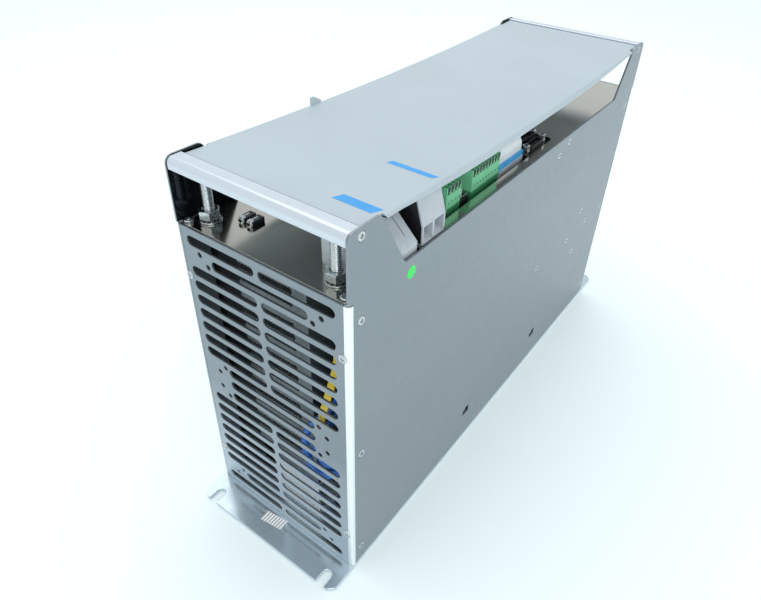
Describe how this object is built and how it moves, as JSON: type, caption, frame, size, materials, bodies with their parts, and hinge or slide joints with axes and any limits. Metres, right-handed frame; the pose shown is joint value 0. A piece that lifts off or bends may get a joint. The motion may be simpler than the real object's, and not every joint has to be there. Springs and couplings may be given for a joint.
{
  "type": "servo drive",
  "caption": "Slim metal-cased servo drive lying on its mounting plate, with slotted ends, a sagging front cover between raised ears and pluggable connectors along one side.",
  "frame": {"origin": "centre of the bounding box on the floor, under the mounting plate", "axes": "+Z out of the drive's front cover, +Y along its mounted height from the stud end to the fan end, +X towards the connector side"},
  "size_m": [0.114, 0.4074, 0.2433],
  "materials": {
    "plate_zinc": "glossy zinc plated sheet",
    "side_sheet": "satin grey zinc sheet",
    "end_sheet": "satin grey zinc sheet",
    "polished_panel": "polished, mirror like",
    "cover_paint": "light blue grey satin",
    "bar_paint": "pale satin",
    "screw_steel": "bright plated",
    "black_plastic": "black moulded",
    "grey_plastic": "light grey moulded",
    "dark_plastic": "dark grey moulded",
    "green_plug": "light green moulded",
    "green_header": "green moulded",
    "blue_plastic": "light blue",
    "white_ribbon": "white",
    "sink_aluminium": "extruded",
    "bracket_sheet": "pale sheet",
    "board": "green circuit board",
    "capacitor_sleeve": "dark sleeve",
    "choke_winding": "wound core",
    "blue_wire": "blue insulation",
    "yellow_wire": "yellow insulation"
  },
  "bodies": {
    "housing": {"air_baffle": "black_plastic", "back_plate": "plate_zinc", "blue_wire_1": "blue_wire", "blue_wire_2": "blue_wire", "board_rail": "black_plastic", "bus_socket_a": "black_plastic", "bus_socket_b": "black_plastic", "capacitor_board": "board", "choke": "choke_winding", "contact_holder": "black_plastic", "contact_pin_1": "screw_steel", "contact_pin_2": "screw_steel", "control_board": "board", "cover_bar_far": "bar_paint", "cover_bar_near": "bar_paint", "cover_sheet": "cover_paint", "earth_stud_left": "screw_steel", "earth_stud_right": "screw_steel", "edge_screw_1": "screw_steel", "edge_screw_2": "screw_steel", "edge_screw_3": "screw_steel", "edge_screw_4": "screw_steel", "fan_frame_high": "black_plastic", "fan_frame_low": "black_plastic", "far_end_plate": "end_sheet", "front_panel": "polished_panel", "green_header_4": "green_header", "green_header_9": "green_header", "heat_sink": "sink_aluminium", "indicator_block": "black_plastic", "indicator_light": "white_ribbon", "link_capacitor_1": "capacitor_sleeve", "link_capacitor_2": "capacitor_sleeve", "link_capacitor_3": "capacitor_sleeve", "near_end_plate": "end_sheet", "panel_screw_1": "screw_steel", "panel_screw_2": "screw_steel", "power_board": "board", "power_module": "black_plastic", "power_terminal_large": "grey_plastic", "power_terminal_small": "grey_plastic", "ribbon_cable": "white_ribbon", "ribbon_header_front": "grey_plastic", "ribbon_header_rear": "dark_plastic", "ribbon_socket": "blue_plastic", "side_plate_left": "side_sheet", "side_plate_right": "side_sheet", "sink_bracket_far": "bracket_sheet", "sink_bracket_near": "bracket_sheet", "stud_nut_left": "screw_steel", "stud_nut_right": "screw_steel", "stud_washer_left": "screw_steel", "stud_washer_right": "screw_steel", "terminal_board": "board", "yellow_cable": "yellow_wire"},
    "plug_4": {"green_plug_4": "green_plug"},
    "plug_9": {"green_plug_9": "green_plug"},
    "rotor_low": {"fan_rotor_low": "black_plastic"},
    "rotor_high": {"fan_rotor_high": "black_plastic"}
  },
  "joints": [
    {"name": "plug_4_pull", "type": "slide", "parent": "housing", "child": "plug_4", "axis": [0, 0, 1], "range_m": [0, 0.012]},
    {"name": "plug_9_pull", "type": "slide", "parent": "housing", "child": "plug_9", "axis": [0, 0, 1], "range_m": [0, 0.012]},
    {"name": "fan_low_spin", "type": "hinge", "parent": "housing", "child": "rotor_low", "pos_m": [-0.0008, 0.16405, 0.057], "axis": [0, 1, 0], "continuous": true},
    {"name": "fan_high_spin", "type": "hinge", "parent": "housing", "child": "rotor_high", "pos_m": [-0.0008, 0.16405, 0.1512], "axis": [0, 1, 0], "continuous": true}
  ]
}
